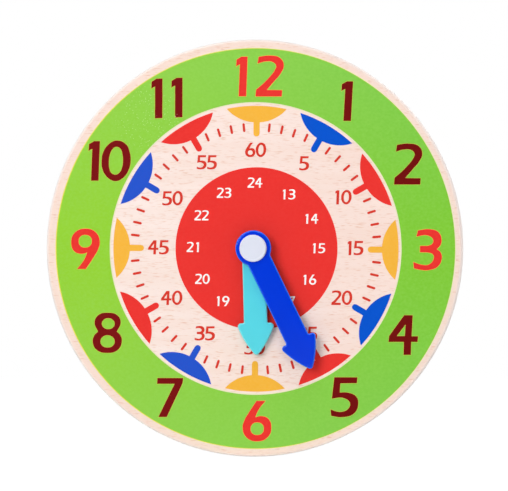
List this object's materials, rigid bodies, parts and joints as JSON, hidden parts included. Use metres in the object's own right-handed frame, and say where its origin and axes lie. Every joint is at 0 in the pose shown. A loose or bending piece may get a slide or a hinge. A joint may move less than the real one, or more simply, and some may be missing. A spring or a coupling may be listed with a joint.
{
  "type": "geared teaching clock",
  "caption": "Round wooden dial board with two flat arrow hands on coaxial shafts, geared together behind the board and set by a knob recessed in the back of its case.",
  "frame": {"origin": "on the hands' axis, in the plane of the case's back face, which rests on the wall", "axes": "+Z towards twelve o'clock, +X towards three o'clock, -Y out of the dial towards the reader"},
  "size_m": [0.2, 0.0355, 0.2],
  "materials": {
    "beech": "satin varnish over beech veneer",
    "print_green": "satin screen-printed ink",
    "print_red": "satin screen-printed ink",
    "print_maroon": "satin screen-printed ink",
    "print_yellow": "satin screen-printed ink",
    "print_blue": "satin screen-printed ink",
    "print_white": "satin screen-printed ink",
    "minute_hand_plastic": "glossy moulded ABS",
    "hour_hand_plastic": "glossy moulded ABS",
    "cap_plastic": "satin moulded ABS",
    "case_plastic": "fine-textured moulded ABS",
    "knob_plastic": "satin moulded ABS",
    "gear_plastic": "natural acetal",
    "bright_steel": "zinc-plated and drawn steel"
  },
  "bodies": {
    "root": {"dial_board": "beech", "gear_housing": "case_plastic", "housing_cover": "case_plastic", "dial_bush": "gear_plastic", "idler_stud": "bright_steel", "face_washer": "gear_plastic", "housing_screws": "bright_steel", "cover_screws": "bright_steel"},
    "minute": {"minute_arbor": "bright_steel", "cannon_pinion": "gear_plastic", "spring_washer": "bright_steel", "thrust_washer": "gear_plastic", "hand_spacer": "gear_plastic", "minute_hand": "minute_hand_plastic", "centre_cap": "cap_plastic", "setting_knob": "knob_plastic", "knob_screw": "bright_steel"},
    "idler": {"minute_wheel": "gear_plastic"},
    "hour": {"hour_wheel": "gear_plastic", "hour_hand": "hour_hand_plastic"}
  },
  "joints": [
    {"name": "minute_turn", "type": "hinge", "parent": "root", "child": "minute", "pos_m": [0, 0, 0], "axis": [0, 1, 0], "continuous": true},
    {"name": "idler_turn", "type": "hinge", "parent": "root", "child": "idler", "pos_m": [0, 0, -0.024], "axis": [0, 1, 0], "continuous": true},
    {"name": "hour_turn", "type": "hinge", "parent": "root", "child": "hour", "pos_m": [0, 0, 0], "axis": [0, 1, 0], "continuous": true}
  ],
  "couplings": [
    {"joint": "idler_turn", "follows": "minute_turn", "ratio": -0.33333},
    {"joint": "hour_turn", "follows": "minute_turn", "ratio": 0.083333}
  ]
}
